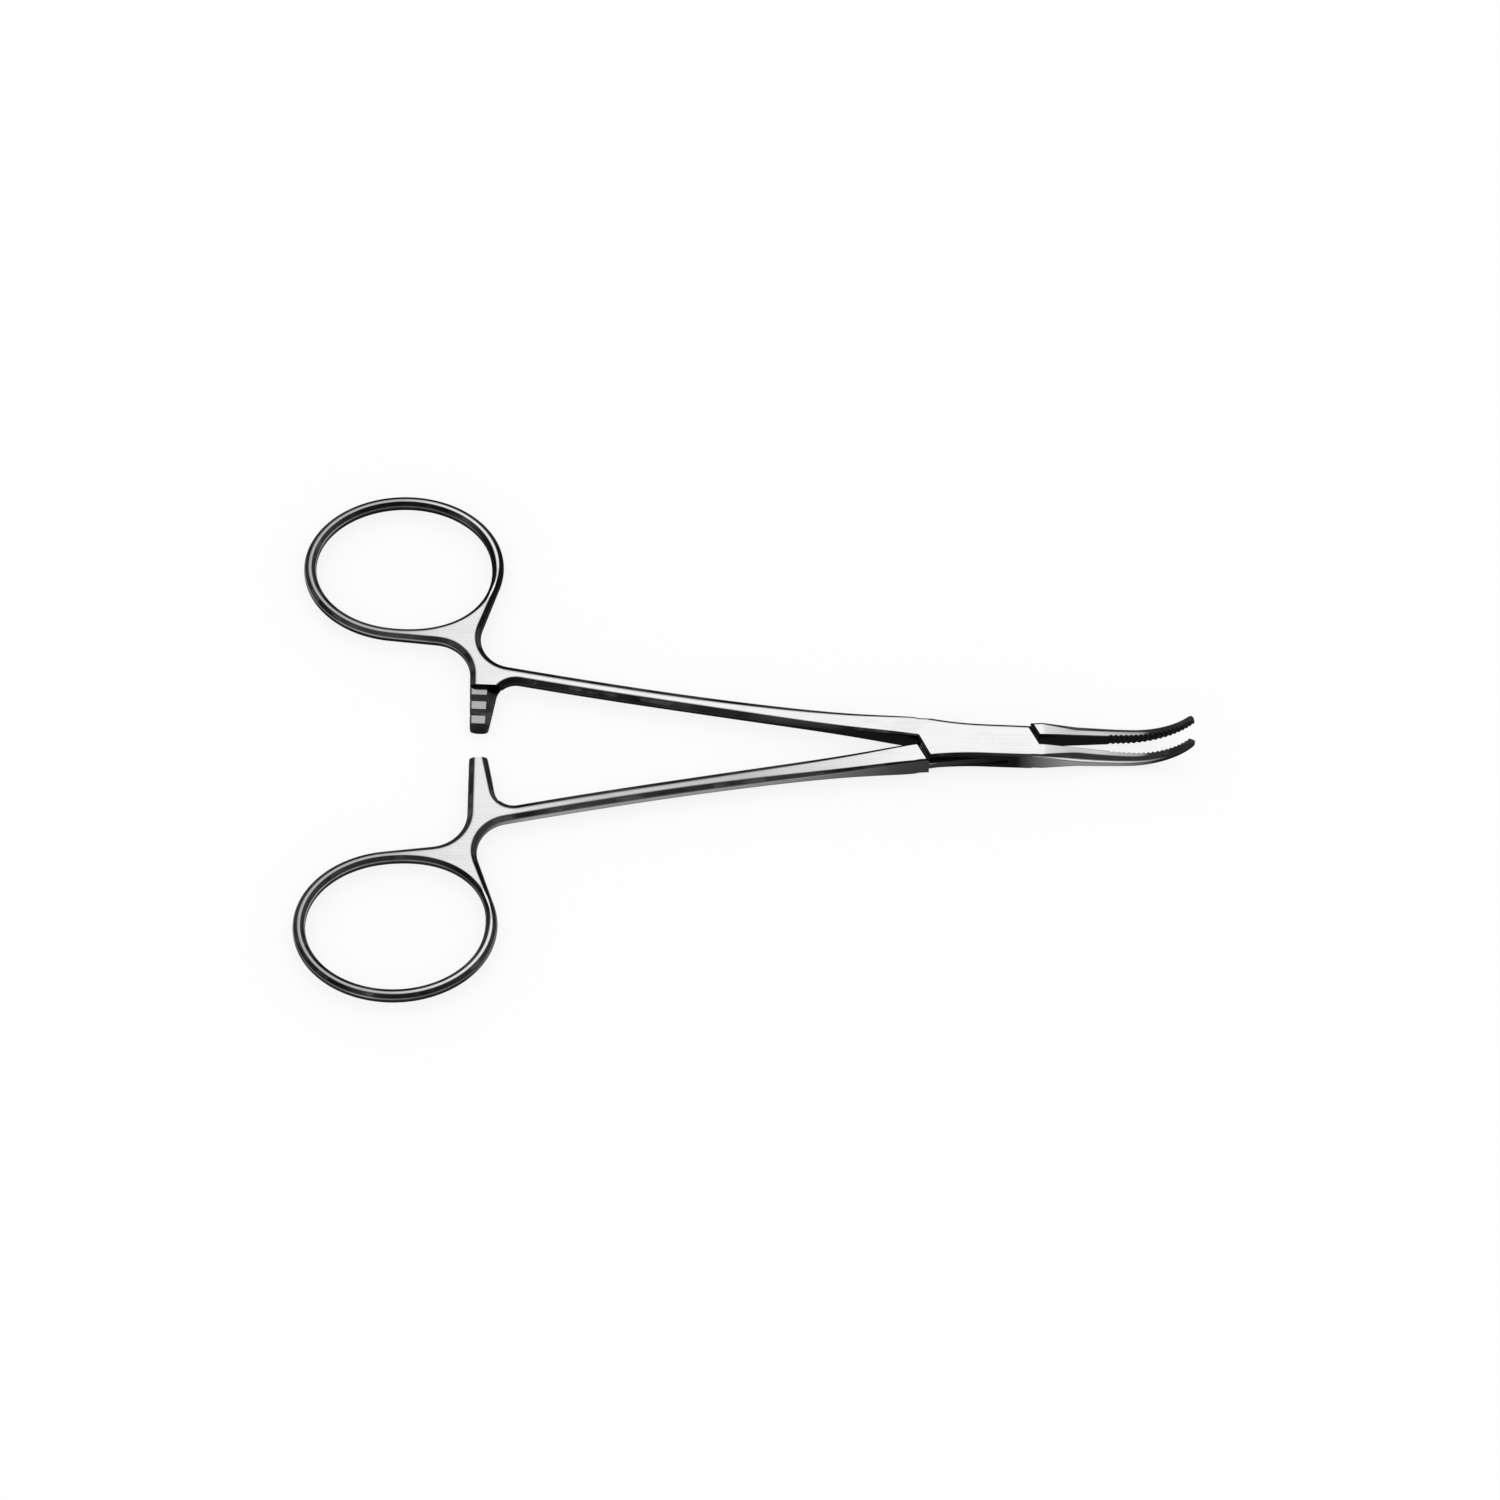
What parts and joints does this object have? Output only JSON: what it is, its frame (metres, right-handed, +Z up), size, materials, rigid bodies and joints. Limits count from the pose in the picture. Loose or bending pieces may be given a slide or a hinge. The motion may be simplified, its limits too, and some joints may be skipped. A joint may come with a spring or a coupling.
{
  "type": "hemostatic forceps",
  "caption": "Slim curved box-lock forceps with oval finger rings, a ratchet between the shanks and cross-serrated jaws that bend upwards, lying half open.",
  "frame": {"origin": "on the pivot axis, in the plane of the box lock's underside, which is the surface that the forceps lies on", "axes": "+X towards the jaw tips, +Y towards the finger ring of the half with the box, +Z up, the way the jaws curve"},
  "size_m": [0.1392, 0.0904, 0.0069],
  "materials": {
    "polished_steel": "mirror-polished stainless steel",
    "rivet_steel": "stainless steel, ground flush with the box"
  },
  "bodies": {
    "female": {"female_half": "polished_steel", "pivot_pin": "rivet_steel"},
    "male": {"male_half": "polished_steel"}
  },
  "joints": [
    {"name": "box_lock", "type": "hinge", "parent": "female", "child": "male", "pos_m": [0, 0, 0.002], "axis": [0, 0, 1], "range_deg": [-5, 75]}
  ]
}
